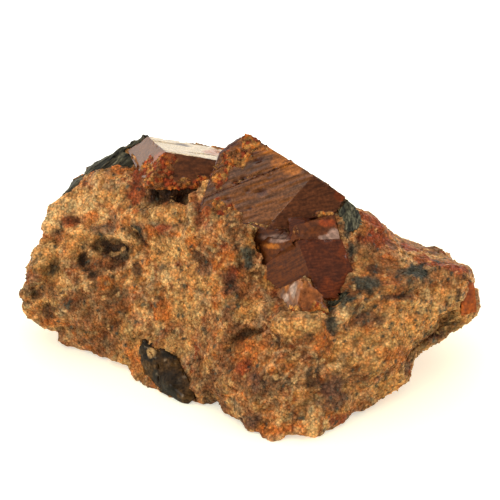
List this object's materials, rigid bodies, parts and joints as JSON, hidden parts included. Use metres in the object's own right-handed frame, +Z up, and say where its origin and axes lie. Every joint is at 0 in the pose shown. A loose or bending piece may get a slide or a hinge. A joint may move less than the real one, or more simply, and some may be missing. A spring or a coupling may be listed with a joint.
{
  "type": "garnet crystal specimen",
  "caption": "Hand specimen of reddish brown garnet: large faceted crystals grown in rough granular garnet rock with dark pyroxene and quartz; stands on its worn underside.",
  "frame": {"origin": "middle of the base's bounding box, on the surface that the specimen stands on", "axes": "+Z up, +X along the specimen's length towards its narrow tip, +Y away from the front face that shows the crystals"},
  "size_m": [0.067, 0.0428, 0.034],
  "materials": {
    "garnet_rock": "rough granular",
    "dark_garnet": "glassy, faintly striated",
    "brown_garnet": "glassy",
    "orange_garnet": "glassy",
    "dark_pyroxene": "fibrous, dull",
    "green_pyroxene": "splintery, dull",
    "smoky_quartz": "glassy"
  },
  "bodies": {
    "root": {"matrix_rock": "garnet_rock", "main_garnet_crystal": "dark_garnet", "left_garnet_crystal": "brown_garnet", "small_garnet_crystal": "brown_garnet", "tip_garnet_crystal": "orange_garnet", "pyroxene_crust": "dark_pyroxene", "pyroxene_grain": "green_pyroxene", "pyroxene_wedge": "dark_pyroxene", "quartz_grain": "smoky_quartz"}
  },
  "joints": []
}
